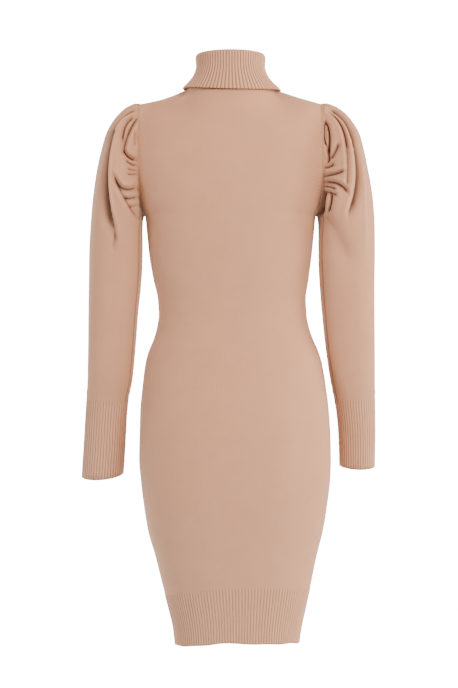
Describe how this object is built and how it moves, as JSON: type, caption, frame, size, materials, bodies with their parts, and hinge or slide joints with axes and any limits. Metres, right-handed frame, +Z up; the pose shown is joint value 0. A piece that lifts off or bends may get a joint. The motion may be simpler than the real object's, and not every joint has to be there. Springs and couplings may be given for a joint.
{
  "type": "roll-neck sweater dress",
  "caption": "Fitted knee-length knitted dress, worn and hollow, with a turned-over roll neck, gathered sleeve heads, deep ribbed cuffs and a ribbed hem.",
  "frame": {"origin": "middle of the neck base, level with the shoulder line beside the collar, where the wearer carries the dress", "axes": "+Z up along the wearer's spine towards the collar, -Y to the wearer's front, +X to the wearer's left"},
  "size_m": [0.4815, 0.2365, 0.9566],
  "materials": {
    "jersey_knit": "fine dusty rose-beige jersey knit, matt, with a soft pale fuzz at grazing angles",
    "rib_knit": "the same yarn knitted as a fine vertical rib, matt"
  },
  "bodies": {
    "root": {"back_panel": "jersey_knit", "front_panel": "jersey_knit", "sleeve_left": "jersey_knit", "sleeve_right": "jersey_knit", "hem_rib_back": "rib_knit", "hem_rib_front": "rib_knit", "cuff_left": "rib_knit", "cuff_right": "rib_knit", "collar": "rib_knit"}
  },
  "joints": []
}
